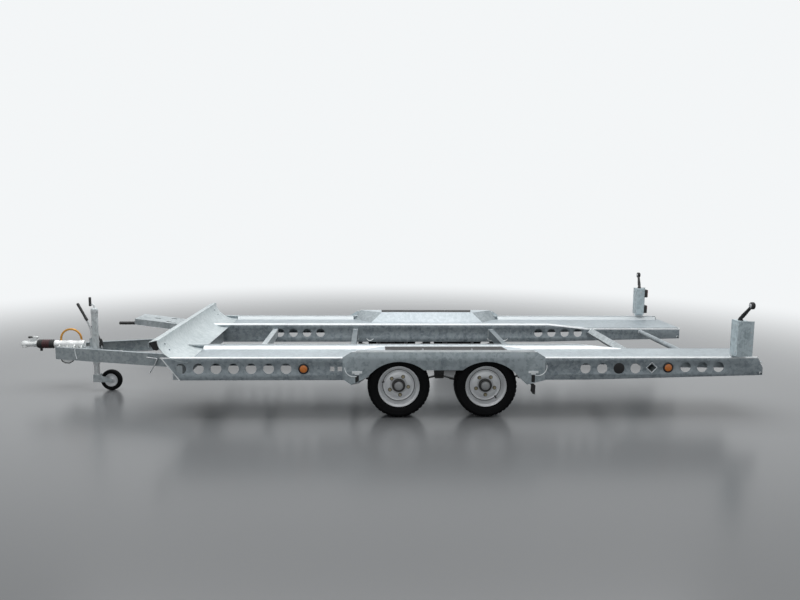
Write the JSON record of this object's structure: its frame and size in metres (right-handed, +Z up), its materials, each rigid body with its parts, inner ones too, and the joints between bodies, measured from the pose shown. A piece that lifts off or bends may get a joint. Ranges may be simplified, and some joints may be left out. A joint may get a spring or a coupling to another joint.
{
  "type": "car transporter trailer",
  "caption": "Galvanised twin-axle trailer with two wheel tracks, open centre, curved front stop, A-frame drawbar, overrun coupling, jockey wheel and folding lamp posts.",
  "frame": {"origin": "on the floor, under the middle of the outer box", "axes": "+X towards the rear of the trailer, +Y towards its right side, +Z up; the coupling points along -X"},
  "size_m": [6.7, 2.644, 1.015],
  "materials": {
    "galvanised_steel": "hot-dip galvanised, spangled",
    "black_rubber": "matt black rubber",
    "tyre": "black tyre rubber",
    "black_paint": "satin black paint",
    "rim_paint": "silver paint",
    "amber_lens": "amber lens",
    "red_lens": "red lens in a black body",
    "yellow_zinc": "yellow passivated"
  },
  "bodies": {
    "chassis": {"brake_lever": "galvanised_steel", "coupling_bellows": "black_rubber", "coupling_handle": "galvanised_steel", "coupling_head": "galvanised_steel", "drawbar_head_plate": "galvanised_steel", "drawbar_left_rail": "galvanised_steel", "drawbar_right_rail": "galvanised_steel", "front_axle": "black_paint", "front_axle_cross_member": "galvanised_steel", "front_beam": "galvanised_steel", "front_bracket": "galvanised_steel", "front_cross_member": "galvanised_steel", "front_stop": "galvanised_steel", "jockey_clamp": "galvanised_steel", "jockey_tube": "galvanised_steel", "left_deck": "galvanised_steel", "left_front_side_lamp": "amber_lens", "left_inner_rail": "galvanised_steel", "left_outer_rail": "galvanised_steel", "left_rear_side_lamp": "amber_lens", "left_springs": "black_paint", "left_wheel_arch": "galvanised_steel", "overrun_housing": "galvanised_steel", "ramp_bar": "galvanised_steel", "rear_axle": "black_paint", "rear_axle_cross_member": "galvanised_steel", "rear_cross_tube": "galvanised_steel", "right_deck": "galvanised_steel", "right_front_side_lamp": "amber_lens", "right_inner_rail": "galvanised_steel", "right_outer_rail": "galvanised_steel", "right_rear_side_lamp": "amber_lens", "right_springs": "black_paint", "right_wheel_arch": "galvanised_steel", "yellow_hoop": "yellow_zinc"},
    "left_front_wheel": {"left_front_tyre": "tyre", "left_front_rim": "rim_paint"},
    "left_rear_wheel": {"left_rear_tyre": "tyre", "left_rear_rim": "rim_paint"},
    "left_lamp_post_body": {"left_lamp_post": "galvanised_steel", "left_rear_lamp": "red_lens", "left_marker_lamp": "black_rubber"},
    "right_front_wheel": {"right_front_tyre": "tyre", "right_front_rim": "rim_paint"},
    "right_rear_wheel": {"right_rear_tyre": "tyre", "right_rear_rim": "rim_paint"},
    "right_lamp_post_body": {"right_lamp_post": "galvanised_steel", "right_rear_lamp": "red_lens", "right_marker_lamp": "black_rubber"},
    "jockey_slider": {"jockey_stem": "galvanised_steel"},
    "jockey_yoke": {"jockey_fork": "galvanised_steel"},
    "jockey_wheel": {"jockey_tyre": "tyre", "jockey_rim": "rim_paint"}
  },
  "joints": [
    {"name": "left_front_wheel_spin", "type": "hinge", "parent": "chassis", "child": "left_front_wheel", "pos_m": [0.265, -1.024, 0.2645], "axis": [0, 1, 0], "continuous": true},
    {"name": "left_rear_wheel_spin", "type": "hinge", "parent": "chassis", "child": "left_rear_wheel", "pos_m": [1.003, -1.024, 0.2645], "axis": [0, 1, 0], "continuous": true},
    {"name": "left_lamp_post_fold", "type": "hinge", "parent": "chassis", "child": "left_lamp_post_body", "pos_m": [3.118, -1.148, 0.5393], "axis": [1, 0, 0], "range_deg": [0, 90]},
    {"name": "right_front_wheel_spin", "type": "hinge", "parent": "chassis", "child": "right_front_wheel", "pos_m": [0.265, 1.024, 0.2645], "axis": [0, 1, 0], "continuous": true},
    {"name": "right_rear_wheel_spin", "type": "hinge", "parent": "chassis", "child": "right_rear_wheel", "pos_m": [1.003, 1.024, 0.2645], "axis": [0, 1, 0], "continuous": true},
    {"name": "right_lamp_post_fold", "type": "hinge", "parent": "chassis", "child": "right_lamp_post_body", "pos_m": [3.118, 1.148, 0.5393], "axis": [-1, 0, 0], "range_deg": [0, 90]},
    {"name": "jockey_raise", "type": "slide", "parent": "chassis", "child": "jockey_slider", "axis": [0, 0, 1], "range_m": [-0.15, 0.085]},
    {"name": "jockey_swivel", "type": "hinge", "parent": "jockey_slider", "child": "jockey_yoke", "pos_m": [-2.585, -0.148, 0.155], "axis": [0, 0, 1], "continuous": true},
    {"name": "jockey_wheel_spin", "type": "hinge", "parent": "jockey_yoke", "child": "jockey_wheel", "pos_m": [-2.45, -0.148, 0.1], "axis": [0, 1, 0], "continuous": true}
  ]
}
